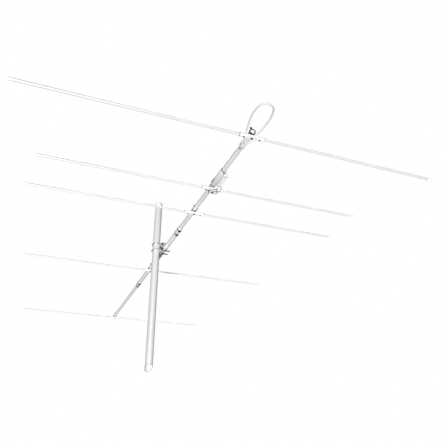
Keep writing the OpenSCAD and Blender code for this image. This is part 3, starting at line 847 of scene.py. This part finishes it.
@dataclass
class Boom:
    """The three telescoping boom tubes, their joints and their ends."""

    wall: float = 0.0018
    edge: float = 0.0004
    middle_radius: float = 0.015
    bands: tuple[float, float] = (0.014, 0.076)
    band_half: float = 0.0045
    band_gauge: float = 0.001
    band_slots: int = 24

    def build(self) -> None:
        """Builds the tubes, the bands round their joints and the ends."""
        for node in ("boom_rear_tube", "boom_front_tube"):
            self.tube(node)
        dress_node("boom_middle_tube", TUBE_Y)
        self.joint_bands()
        self.joint_screws()
        self.ends()

    def tube(self, node: str) -> None:
        """Builds one of the thinner tubes.

        Args:
            node: Its CAD node.
        """
        low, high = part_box(node)
        radius = (high.x - low.x) / 2
        half = (high.y - low.y) / 2
        shell = Shell(facing(Axis.Y, (low + high) / 2))
        shell.pipe(radius, radius - self.wall, -half, half, self.edge, 56)
        shell.piece(node + "_drawn", TUBE_Y, Body.BOOM.value, node)

    def band_places(self) -> list[Vector]:
        """Returns the points of the boom's axis that the bands are centred on."""
        low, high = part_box("boom_middle_tube")
        centre = middle("boom_middle_tube")
        rows = [low.y + inset for inset in self.bands] + [high.y - inset for inset in self.bands]
        return [Vector((centre.x, y, centre.z)) for y in rows]

    def joint_bands(self) -> None:
        """Builds the four steel bands, each with its row of worm slots pressed in."""
        shell = Shell()
        for place in self.band_places():
            shell.at = facing(Axis.Y, place)
            inner, outer = self.middle_radius + 0.00005, self.middle_radius + self.band_gauge
            shell.pipe(outer, inner, -self.band_half, self.band_half, 0.0002, 64)
            for turn in range(self.band_slots):
                round_boom = Matrix.Rotation(math.tau * turn / self.band_slots, 4, "Z")
                shell.at = facing(Axis.Y, place) @ round_boom @ Matrix.Translation((outer, 0, 0))
                shell.slab(0.00012, 0.0007, -0.0028, 0.0028, 0.0001, 0.00005)
        shell.piece("joint_band_set", BLACK_STEEL, Body.BOOM.value, "joint_bands")

    def joint_screws(self) -> None:
        """Builds the worm housings under the bands, and their screws across the boom."""
        shell = Shell()
        for place in self.band_places():
            under = place - Vector((0, 0, self.middle_radius))
            shell.at = Matrix.Translation(under)
            shell.slab(0.007, 0.0055, -0.0075, -0.0011, 0.0012, 0.0005)
            shell.at = facing(Axis.X, under + Vector((-0.011, 0, -0.004)))
            shell.hexagon(0.0066, 0.0, 0.0032)
            shell.turned([(0.0044, 0.0031), (0.0044, 0.0038)], 24)
            shell.turned([(0.0024, 0.0037), (0.0024, 0.0042)], 20)
            shell.threaded(0.0025, 0.0175, 0.021, 0.0012)
        shell.piece("joint_screw_set", BLACK_OXIDE, Body.BOOM.value, "joint_screws")

    def ends(self) -> None:
        """Builds the rear ring and its plug, and the nose plug."""
        shell, radius, depth = shell_along_boom("boom_end_ring")
        tube = radius - 0.003
        shell.turned([(tube - 0.0018, 0.0004), (tube - 0.0012, 0.0), (radius - 0.0012, 0.0),
                      (radius - 0.0003, 0.0004), (radius, 0.0013), (radius, depth - 0.0005),
                      (radius - 0.0005, depth), (tube + 0.00005, depth),
                      (tube + 0.00005, 0.005), (tube - 0.0018, 0.005)], 48, True)
        shell.piece("boom_end_ring_moulded", BLACK, Body.BOOM.value, "boom_end_ring")
        shell, radius, depth = shell_along_boom("boom_end_plug")
        shell.turned([(0.0015, 0.0009), (radius * 0.7, 0.0007), (radius - 0.0012, 0.0),
                      (radius - 0.0003, 0.0002), (radius, 0.0006), (radius, depth - 0.0006),
                      (radius - 0.0006, depth), (0.0015, depth)], 40)
        shell.piece("boom_end_plug_moulded", WHITE, Body.BOOM.value, "boom_end_plug")
        shell, radius, depth = shell_along_boom("boom_nose_plug")
        stem = radius - 0.0027
        profile = [(stem - 0.0008, 0.0)]
        for i in range(2):
            base = 0.001 + i * 0.0045
            profile += [(stem - 0.0006, base), (stem, base + 0.003), (stem - 0.0006, base + 0.0035)]
        profile += [(stem - 0.0004, depth - 0.003), (radius, depth - 0.003),
                    (radius, depth - 0.0012), (radius - 0.0004, depth - 0.0004),
                    (radius - 0.0012, depth), (0.002, depth)]
        shell.turned(profile, 40)
        shell.piece("boom_nose_plug_moulded", BLACK, Body.BOOM.value, "boom_nose_plug")


@dataclass
class Element:
    """One element with its caps, bracket, saddle and wing nut."""

    name: str
    tubes: tuple[str, ...]
    nut_turn: float
    wall: float = 0.0012
    cap: float = 0.028
    wing_bolt: float = 0.003
    boss: float = 0.0056
    boss_height: float = 0.008
    lobe: float = 0.0042
    wing_root: tuple[float, float] = (0.004, 0.0032)
    wing_crown: tuple[float, float] = (0.0088, 0.0085)

    def build(self) -> None:
        """Builds the element's own pieces and dresses its bracket and saddle."""
        for tube in self.tubes:
            self.rod(tube)
        self.caps()
        dress_node(self.name + "_bracket", WHITE, 0.0005)
        dress_node(self.name + "_saddle", PRESSED, 0.0006)
        self.wing_nut()

    def rod(self, node: str) -> None:
        """Builds one tube of the element."""
        low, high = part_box(node)
        radius, half = (high.z - low.z) / 2, (high.x - low.x) / 2
        shell = Shell(facing(Axis.X, (low + high) / 2))
        shell.pipe(radius, radius - self.wall, -half, half, 0.0003, 32)
        shell.piece(node + "_drawn", TUBE_X, Body.BOOM.value, node)

    def caps(self) -> None:
        """Builds the pair of end caps, each with a lip, two grip rings and a dome."""
        node = self.name + "_caps"
        low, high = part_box(node)
        radius, bore = (high.z - low.z) / 2, 0.0064
        shell = Shell()
        for flip, x in ((False, high.x), (True, low.x)):
            place = Vector((x, (low.y + high.y) / 2, (low.z + high.z) / 2))
            shell.at = facing(Axis.X, place, flip)
            neck = radius - 0.0005
            profile = [(bore, -self.cap), (radius - 0.0003, -self.cap),
                       (radius, -self.cap + 0.0004), (radius, -self.cap + 0.0022),
                       (neck, -self.cap + 0.0028)]
            for i in range(2):
                base = -self.cap + 0.0075 + i * 0.0045
                profile += [(neck, base), (radius - 0.0001, base + 0.0007),
                            (radius - 0.0001, base + 0.0017), (neck, base + 0.0024)]
            profile += [(neck * math.cos(a), -0.007 + 0.007 * math.sin(a))
                        for a in (math.radians(8.5 * i) for i in range(11))]
            profile += [(0.0004, 0.0), (0.0004, -0.004), (bore, -0.004)]
            shell.turned(profile, 28, True)
        shell.piece(node + "_moulded", WHITE, Body.BOOM.value, node)

    def wing_nut(self) -> None:
        """Builds the cast wing nut: a tapered boss with two rounded wings."""
        node = self.name + "_wing_nut"
        centre, base = middle(node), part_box(node)[0].z
        shell = Shell(Matrix.Translation((centre.x, centre.y, base))
                      @ Matrix.Rotation(math.radians(self.nut_turn), 4, "Z"))
        boss, height, bore = self.boss, self.boss_height, self.wing_bolt + 0.00005
        shell.turned([(bore, 0.0003), (bore + 0.0003, 0.0), (boss - 0.0004, 0.0), (boss, 0.0005),
                      (boss - 0.0002, 0.002), (boss - 0.0011, height - 0.0006),
                      (boss - 0.0016, height), (bore + 0.0003, height), (bore, height - 0.0003)],
                     32, True)
        for side in (1, -1):
            self.wing(shell, side)
        shell.piece(node + "_cast", BLACK_OXIDE, node, node)

    def wing(self, shell: Shell, side: int) -> None:
        """Adds one wing, which sweeps out and up from the boss.

        Args:
            shell: The wing nut's shell.
            side: 1 for the wing towards local +Y, -1 for the other.
        """
        lobe = self.lobe
        root, crown = Vector((0.0, *self.wing_root)), Vector((0.0, *self.wing_crown))
        way = (crown - root).normalized()
        over = Vector((0.0, -way.z, way.y))
        length = (crown - root).length
        rings = []
        for i in range(15):
            along = (length + lobe) * math.sin(math.pi / 2 * i / 14)
            beyond = max(0.0, (along - length) / lobe)
            width = 0.0028 + 0.0014 * min(1.0, along / length)
            width *= math.sqrt(max(0.0, 1 - beyond ** 2))
            thick = 0.0014 * math.sqrt(max(0.02, 1 - beyond ** 2 * 0.9))
            centre = root + way * along
            ring = []
            for j in range(20):
                a = 2 * math.pi * j / 20
                squared = abs(math.cos(a)) ** 0.6 * math.copysign(1, math.cos(a))
                point = centre + over * max(width, 0.0004) * math.sin(a)
                point.x += thick * squared
                point.y *= side
                ring.append(point)
            rings.append(ring)
        shell.skin(rings)


@dataclass
class ElementFixings:
    """Bolts, pads and screws that hold the five elements to the boom."""

    bolt: float = 0.003
    pitch: float = 0.001
    flats: float = 0.010
    head: float = 0.004
    strap: float = 0.00835
    screw_reach: float = 0.016
    sleeve_end: float = 0.059
    elements: tuple[str, ...] = ("reflector", "driven", "director_1", "director_2", "director_3")

    def build(self) -> None:
        """Builds the bolts, screws and seals, and dresses the pads."""
        self.saddle_bolts()
        self.sleeve_seals()
        self.bracket_screws()
        dress_node("saddle_pads", BLACK, 0.0005)

    def saddle_bolts(self) -> None:
        """Builds the five bolts that run up through bracket, boom and wing nut."""
        shell = Shell()
        for name in self.elements:
            centre = middle(name + "_bracket")
            seat = middle(name + "_caps").z - self.strap
            if name == "driven":
                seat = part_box("feed_block")[0].z
            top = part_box(name + "_wing_nut")[0].z + 0.0147
            shell.at = Matrix.Translation((centre.x, centre.y, seat - self.head))
            length = top - seat + self.head
            shell.hexagon(self.flats, 0.0, self.head)
            shell.turned([(self.bolt, 0.0035), (self.bolt, length - 0.022)], 20)
            shell.threaded(self.bolt, length - 0.0222, length, self.pitch)
            self.saddle_screws(shell, name, centre)
        shell.piece("saddle_bolt_set", BLACK_OXIDE, Body.BOOM.value, "saddle_bolts")

    def saddle_screws(self, shell: Shell, name: str, centre: Vector) -> None:
        """Adds the screws that hold an element's saddle, before and behind the element.

        Args:
            shell: The shell to add to.
            name: The element's name.
            centre: The middle of its bracket.
        """
        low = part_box(name + "_saddle")[0]
        for side in (-1, 1):
            y = centre.y + side * self.screw_reach
            if y > low.y:
                shell.at = facing(Axis.Z, Vector((centre.x, y, low.z)), True)
                shell.hexagon(0.008, 0.0, 0.0035)
                shell.turned([(0.002, -0.008), (0.002, 0.0004)], 16)

    def sleeve_seals(self) -> None:
        """Builds the rubber rings that close the outer ends of the bracket sleeves."""
        shell = Shell()
        for name in self.elements:
            centre = middle(name + "_bracket")
            for side in (-1, 1):
                place = Vector((centre.x + side * self.sleeve_end, centre.y,
                                middle(name + "_caps").z))
                shell.at = facing(Axis.X, place, side < 0)
                shell.pipe(0.0086, 0.0064, 0.00005, 0.0018, 0.0004, 32)
        shell.piece("sleeve_seal_set", SEAL, Body.BOOM.value)

    def bracket_screws(self) -> None:
        """Builds the pan-headed, cross-slotted screws under the bracket sleeves."""
        shell = Shell()
        low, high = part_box("bracket_screws")
        for name in self.elements:
            centre = middle(name + "_bracket")
            tube_z = middle(name + "_caps").z
            for side in (-1, 1):
                x = centre.x + side * ((high.x - low.x) / 2 - 0.004)
                seat = tube_z - 0.0084
                shell.at = facing(Axis.Z, Vector((x, centre.y, seat)), True)
                pan_head(shell, 0.004, 0.0036)
                shell.turned([(0.002, -0.0062), (0.002, 0.001)], 16)
        shell.piece("bracket_screw_set", BLACK_OXIDE, Body.BOOM.value, "bracket_screws")


def pan_head(shell: Shell, radius: float, height: float) -> None:
    """Adds a pan head with a sunk cross, standing up from local Z = 0.

    Args:
        shell: The shell to add to.
        radius: The head's radius.
        height: The head's height.
    """
    sides = 32

    def lobed(reach: float, at: float, depth: float) -> Ring:
        """A ring that is pulled in between the arms of a cross."""
        ring = []
        for i in range(sides):
            a = 2 * math.pi * i / sides
            arm = abs(math.cos(2 * a)) ** 3
            r = reach * (0.38 + 0.62 * arm) if depth else reach
            ring.append(Vector((r * math.cos(a), r * math.sin(a), at)))
        return ring

    slot = radius * 0.55
    rings = [lobed(radius * 0.97, 0.0, 0), lobed(radius, height * 0.15, 0),
             lobed(radius * 0.97, height * 0.6, 0), lobed(radius * 0.82, height * 0.9, 0),
             lobed(radius * 0.6, height, 0), lobed(slot, height * 0.99, 1),
             lobed(slot * 0.7, height * 0.55, 1), lobed(slot * 0.3, height * 0.5, 1)]
    shell.skin(rings)


@dataclass
class Feed:
    """The cradle, box, block and socket that feed the driven element."""

    corner: float = 0.003

    def build(self) -> None:
        """Builds the feed's pieces."""
        dress_node("feed_cradle", GREY, 0.0006)
        dress_node("driven_core", CORE)
        self.cradle_screws()
        self.box()
        self.block()
        self.socket()
        self.leads()

    def cradle_screws(self) -> None:
        """Builds the two screws on the cradle's side."""
        low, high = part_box("feed_cradle_screws")
        shell = Shell()
        height = middle("feed_cradle_screws").z
        for y in (low.y + 0.0042, high.y - 0.0042):
            shell.at = facing(Axis.X, Vector((low.x + 0.0032, y, height)), True)
            pan_head(shell, 0.0042, 0.0032)
            shell.turned([(0.002, -(high.x - low.x) + 0.0032), (0.002, 0.0008)], 16)
        shell.piece("feed_cradle_screw_set", BLACK_OXIDE, Body.BOOM.value, "feed_cradle_screws")

    def box(self) -> None:
        """Builds the box, its gasket, lid and screws."""
        for node, name, finish, edge in (("feed_box_body", "feed_box_moulded", BOX, 0.0012),
                                         ("feed_box_gasket", "feed_box_seal", SEAL, 0.0002),
                                         ("feed_box_lid", "feed_box_cover", BOX, 0.0007)):
            low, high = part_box(node)
            half = (high - low) / 2
            shell = Shell(Matrix.Translation(middle(node)))
            shell.slab(half.x, half.y, -half.z, half.z, self.corner, edge)
            shell.piece(name, finish, Body.BOOM.value, node)
        low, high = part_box("feed_box_screws")
        shell = Shell()
        for x in (low.x + 0.0026, high.x - 0.0026):
            for y in (low.y + 0.0026, high.y - 0.0026):
                shell.at = facing(Axis.Z, Vector((x, y, low.z + 0.0016)), True)
                pan_head(shell, 0.0026, 0.0016)
        shell.piece("feed_box_screw_set", BLACK_OXIDE, Body.BOOM.value, "feed_box_screws")

    def block(self) -> None:
        """Builds the socket's block: a light body between two dark rims."""
        low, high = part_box("feed_block")
        half, centre = (high - low) / 2, (high + low) / 2
        rim = 0.0022
        shell = Shell(Matrix.Translation(centre))
        shell.slab(half.x - 0.0008, half.y - 0.0008, -half.z + 0.0004, half.z - 0.0002,
                   0.002, 0.0006)
        shell.piece("feed_block_body", BOX, Body.BOOM.value, "feed_block")
        shell = Shell(Matrix.Translation(centre))
        for base in (-half.z, half.z - rim):
            outer, inner = [], []
            for height in (base, base + rim):
                outer.append(rounded_outline(half.x, half.y, 0.0024, height))
                inner.append(rounded_outline(half.x - 0.003, half.y - 0.003, 0.0015, height))
            shell.skin([outer[0], outer[1], inner[1], inner[0]], True)
        shell.piece("feed_block_rims", BLACK, Body.BOOM.value)

    def socket(self) -> None:
        """Builds the panel socket: flange, thread, insulator and contact."""
        low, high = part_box("feed_socket")
        centre = (low + high) / 2
        shell = Shell(facing(Axis.Y, Vector((centre.x, high.y - 0.018, centre.z)), True))
        barrel, mouth, pitch = 0.0055, 0.0042, 0.0009
        shell.pipe(0.0059, mouth, 0.0, 0.002, 0.0002, 40)
        thread = [(barrel - 0.0004 * (i % 2), 0.0021 + i * pitch / 2) for i in range(26)]
        shell.turned([*thread, (barrel - 0.0006, 0.0139), (mouth, 0.0139), (mouth, 0.002)],
                     40, True)
        shell.turned([(0.0009, 0.006), (0.0009, 0.0117)], 16)
        shell.piece("feed_socket_body", NICKEL, Body.BOOM.value, "feed_socket")
        shell = Shell(facing(Axis.Y, Vector((centre.x, high.y - 0.018, centre.z)), True))
        shell.pipe(0.0024, 0.00095, 0.001, 0.012, 0.0002, 28)
        shell.pipe(mouth - 0.0001, 0.0025, 0.0005, 0.004, 0.0002, 28)
        shell.piece("feed_socket_insulator", CORE, Body.BOOM.value)

    def leads(self) -> None:
        """Builds the two short leads, which have plain ends."""
        box_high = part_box("feed_box_body")[1]
        block_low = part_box("feed_block")[0]
        boom_x, driven = middle("driven_bracket").x, middle("driven_bracket").y
        end = middle("driven_caps").z - 0.0108
        radius = 0.00145
        shell = Shell()
        right = [(box_high.x - 0.001, box_high.y - 0.008, middle("driven_caps").z + 0.02285),
                 (box_high.x + 0.004, box_high.y - 0.006, end + 0.0277),
                 (box_high.x + 0.005, box_high.y - 0.004, end + 0.0057),
                 (boom_x + 0.0436, driven - 0.004, end), (boom_x + 0.0426, driven, end)]
        left = [(block_low.x + 0.001, driven, end - 0.0044),
                (block_low.x - 0.003, driven, end - 0.0044),
                (boom_x - 0.03, driven, end - 0.0018), (boom_x - 0.0354, driven, end - 0.0003)]
        for route in (right, left):
            shell.sweep(spline_path(route, 6), lambda along, turn: radius, 12)
        shell.piece("feed_lead_pair", WIRE, Body.BOOM.value, "feed_leads")


# The line's centre, in millimetres from the boom's axis at the reflector: from the feed cradle
# to the clip, round the loop and back to the clip
COAX_ROUTE = (
    (0, 470, -16.8), (0, 290, -16.8), (0, 110, -16.8), (0, 74, -16.8), (0, 70, -16.8),
    (3, 60, -17.5), (10, 48, -17.5), (18, 33, -13.5), (24, 18, -7), (28, 0, -2),
    (32, -18, 2), (37, -38, 6), (40, -60, 10), (42, -85, 13), (41, -108, 15),
    (38, -130, 15), (33, -152, 15), (26, -170, 15), (17, -183, 15), (5, -190, 15),
    (-8, -193, 15), (-20, -192, 15), (-31, -186, 15), (-39, -175, 15), (-44, -157, 15),
    (-46, -132, 15), (-45, -105, 14), (-42, -78, 12), (-38, -56, 9), (-34, -35, 6),
    (-30, -16, 3), (-27, 2, -1), (-24, 18, -5), (-21, 33, -9.5), (-16, 48, -13),
    (-11, 60, -15), (-9.4, 70, -15), (-9.4, 74, -15), (-9.4, 96, -15),
)


@dataclass
class CoaxLine:
    """The coaxial stub line that runs under the boom and loops behind the reflector."""

    radius: float = 0.00395

    def build(self) -> None:
        """Builds the line, its end cap, clip and tie."""
        reflector = middle("reflector_caps").y
        boom = middle("boom_rear_tube")
        points = [(boom.x + x / 1000, reflector + y / 1000, boom.z + z / 1000)
                  for x, y, z in COAX_ROUTE]
        shell = Shell()
        shell.sweep(spline_path(points, 5), lambda along, turn: self.radius, 20)
        shell.piece("coax_line_jacket", JACKET, Body.BOOM.value, "coax_line")
        self.end_cap()
        dress_node("coax_clip", GREY, 0.0005)
        dress_node("coax_tie", BLACK, 0.0003)

    def end_cap(self) -> None:
        """Builds the sealed cap on the line's free end."""
        shell, radius, length = shell_along_boom("coax_end_cap")
        bore = self.radius + 0.00005
        profile = [(bore, 0.0002), (radius - 0.0002, 0.0), (radius, 0.0003),
                   (radius - 0.0003, length - 0.004)]
        profile += [((radius - 0.0003) * math.cos(a), length - 0.004 + 0.004 * math.sin(a))
                    for a in (math.radians(10 * i) for i in range(1, 9))]
        profile += [(0.0004, length), (0.0004, 0.0041), (bore, 0.0041)]
        shell.turned(profile, 28, True)
        shell.piece("coax_end_boot", SEAL, Body.BOOM.value, "coax_end_cap")


@dataclass
class Studio:
    """The camera, the floor and the light."""

    lens: float = 39.61
    place: tuple[float, float, float] = (-0.7348, -3.1066, -0.519)
    heading: float = math.radians(21.57)
    pitch: float = math.radians(26.04)
    floor: float = -0.95

    def build(self) -> None:
        """Builds the studio."""
        self.camera()
        self.ground()
        self.sky()
        self.lamps()
        bpy.context.scene.view_settings.view_transform = "Standard"

    def camera(self) -> None:
        """Places the camera low behind the reflector, looking up along the boom."""
        data = bpy.data.cameras.new("camera")
        data.lens, data.sensor_width = self.lens, 36.0
        data.clip_start, data.clip_end = 0.05, 200.0
        made = bpy.data.objects.new("camera", data)
        bpy.context.scene.collection.objects.link(made)
        level = math.cos(self.pitch)
        ahead = Vector((math.sin(self.heading) * level, math.cos(self.heading) * level,
                        math.sin(self.pitch)))
        made.location = self.place
        made.rotation_euler = ahead.to_track_quat("-Z", "Y").to_euler()
        bpy.context.scene.camera = made

    def ground(self) -> None:
        """Lays a wide floor well below the mast's foot.

        It is pale to look at but bounces light as a darker one would, and it casts no shadow,
        because the front light shines up through it.
        """
        mesh = bpy.data.meshes.new("studio_floor")
        size = 60.0
        corners = [(-size, -size, self.floor), (size, -size, self.floor),
                   (size, size, self.floor), (-size, size, self.floor)]
        mesh.from_pydata(corners, [], [(0, 1, 2, 3)])
        made = bpy.data.objects.new("studio_floor", mesh)
        bpy.context.scene.collection.objects.link(made)
        material = bpy.data.materials.new("studio_floor")
        material.use_nodes = True
        graph = Graph(material.node_tree)
        place = graph.add("TexCoord").outputs["Object"]
        noise = graph.add("TexNoise", {"Vector": place, "Scale": 0.6}).outputs[0]
        seen = graph.add("LightPath").outputs["Is Camera Ray"]
        pale = graph.mix(noise, (0.88, 0.88, 0.88), (0.92, 0.92, 0.92))
        shade = graph.mix(seen, (0.3, 0.3, 0.3), pale)
        shader = graph.add("BsdfPrincipled", {"Base Color": shade, "Roughness": 0.9})
        graph.add("OutputMaterial", {"Surface": shader.outputs[0]})
        mesh.materials.append(material)
        made.visible_shadow = False

    def sky(self) -> None:
        """Shows an even white world, which lights the antenna only dimly and slightly blue."""
        world = bpy.data.worlds.new("studio")
        world.use_nodes = True
        bpy.context.scene.world = world
        graph = Graph(world.node_tree)
        seen = graph.add("LightPath").outputs["Is Camera Ray"]
        white = graph.add("Background", {"Color": (1.0, 1.0, 1.0, 1.0), "Strength": 1.0})
        soft = graph.add("Background", {"Color": (0.97, 0.985, 1.0, 1.0), "Strength": 0.13})
        both = graph.add("MixShader", {0: seen, 1: soft.outputs[0], 2: white.outputs[0]})
        graph.add("OutputWorld", {"Surface": both.outputs[0]})

    def lamps(self) -> None:
        """Lights the antenna from the ceiling, and from behind the camera and below the floor."""
        self.flood("ceiling_light", (0.35, 0.6, 0.85), 2.4, 40.0)
        self.flood("front_light", (-0.38, -0.72, -0.58), 4.3, 12.0)

    def flood(self, name: str, place: tuple[float, float, float], strength: float,
              spread: float) -> None:
        """Adds one wide, even light that comes from far away.

        Args:
            name: Its name.
            place: The direction that it comes from.
            strength: Its strength in watts per square metre.
            spread: How wide it looks, in degrees.
        """
        data = bpy.data.lights.new(name, "SUN")
        data.energy, data.angle = strength, math.radians(spread)
        made = bpy.data.objects.new(name, data)
        made.rotation_euler = (-Vector(place)).to_track_quat("-Z", "Y").to_euler()
        bpy.context.scene.collection.objects.link(made)


def main() -> None:
    """Builds the studio and every sub-assembly in order."""
    logging.basicConfig(level=logging.INFO, format="%(name)s: %(message)s")
    Studio().build()
    CoaxLine().build()
    Mast().build()
    Clamp().build()
    Boom().build()
    Element("reflector", ("reflector_tube",), -60.0).build()
    Element("driven", ("driven_left_tube", "driven_right_tube"), -20.0).build()
    for number, turn in ((1, 0.0), (2, -50.0), (3, 10.0)):
        Element(f"director_{number}", (f"director_{number}_tube",), turn).build()
    ElementFixings().build()
    Feed().build()


if __name__ == "__main__":
    main()
